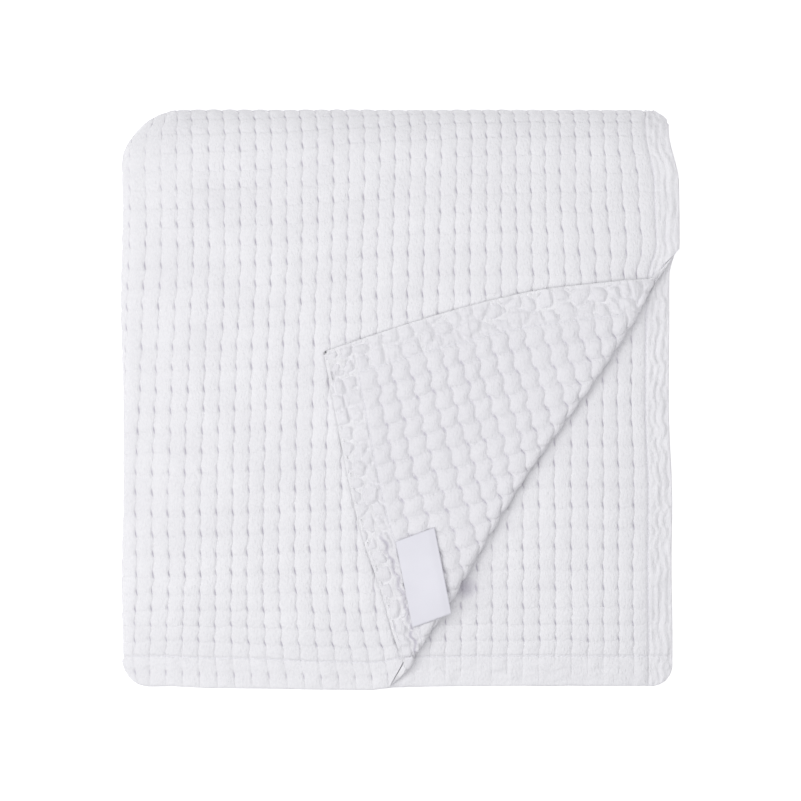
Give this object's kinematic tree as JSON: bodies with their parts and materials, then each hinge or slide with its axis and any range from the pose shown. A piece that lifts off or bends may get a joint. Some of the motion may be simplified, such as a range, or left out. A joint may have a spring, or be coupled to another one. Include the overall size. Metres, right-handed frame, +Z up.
{
  "type": "folded throw blanket",
  "caption": "White waffle-weave cotton throw folded into a thick, nearly square stack, with one corner of its top layer turned back over a blank sewn label.",
  "frame": {"origin": "centre of the underside, on the surface that the folded throw lies on", "axes": "+X to the side with the open hems, +Y to the big rolled edge, +Z up"},
  "size_m": [0.365, 0.381, 0.0774],
  "materials": {
    "cotton": "matt white waffle-weave cotton with puffy cells and a fine fuzz",
    "thread": "white spun sewing thread in a lockstitch",
    "label": "smooth white woven satin with a soft sheen, left blank"
  },
  "bodies": {
    "lower_half": {"bottom_edge_roll_09_16": "cotton", "bottom_edge_roll_10_15": "cotton", "bottom_edge_roll_11_14": "cotton", "bottom_edge_roll_12_13": "cotton", "layer_09": "cotton", "layer_10": "cotton", "layer_11": "cotton", "layer_12": "cotton", "layer_13": "cotton", "layer_14": "cotton", "layer_15": "cotton", "layer_16": "cotton", "side_hem_09": "cotton", "side_hem_10": "cotton", "side_hem_15": "cotton", "side_hem_16": "cotton", "top_edge_roll_01_16": "cotton", "top_edge_roll_02_15": "cotton", "top_edge_roll_03_14": "cotton", "top_edge_roll_04_13": "cotton", "top_edge_roll_05_12": "cotton", "top_edge_roll_06_11": "cotton", "top_edge_roll_07_10": "cotton", "top_edge_roll_08_09": "cotton"},
    "upper_half": {"layer_01": "cotton", "layer_02": "cotton", "layer_03": "cotton", "layer_04": "cotton", "layer_05": "cotton", "layer_06": "cotton", "layer_07": "cotton", "layer_08": "cotton", "bottom_hem_01": "cotton", "bottom_hem_02": "cotton", "bottom_hem_03": "cotton", "bottom_hem_04": "cotton", "bottom_hem_05": "cotton", "bottom_hem_06": "cotton", "bottom_hem_07": "cotton", "bottom_hem_08": "cotton", "bottom_hem_thread_01": "thread", "bottom_hem_thread_02": "thread", "side_hem_01": "cotton", "side_hem_02": "cotton", "side_hem_07": "cotton", "side_hem_08": "cotton", "side_hem_thread_01": "thread", "side_hem_thread_02": "thread"},
    "turned_corner": {"corner_flap": "cotton", "corner_fold": "cotton", "flap_bottom_hem": "cotton", "flap_bottom_hem_thread": "thread", "flap_side_hem": "cotton", "flap_side_hem_thread": "thread"},
    "label": {"label": "label"}
  },
  "joints": [
    {"name": "unfold", "type": "hinge", "parent": "lower_half", "child": "upper_half", "pos_m": [0, 0.1705, 0.0389], "axis": [-1, 0, 0], "range_deg": [0, 180], "deforming": ["top_edge_roll_01_16", "top_edge_roll_02_15", "top_edge_roll_03_14", "top_edge_roll_04_13", "top_edge_roll_05_12", "top_edge_roll_06_11", "top_edge_roll_07_10", "top_edge_roll_08_09"]},
    {"name": "corner_turn", "type": "hinge", "parent": "upper_half", "child": "turned_corner", "pos_m": [0.09278, -0.05636, 0.0736], "axis": [0.5661, 0.8243, 0], "range_deg": [0, 180], "deforming": ["corner_fold"]},
    {"name": "label_flip", "type": "hinge", "parent": "turned_corner", "child": "label", "pos_m": [0.00233, -0.12236, 0.078], "axis": [0.1925, -0.9813, 0], "range_deg": [0, 180]}
  ]
}
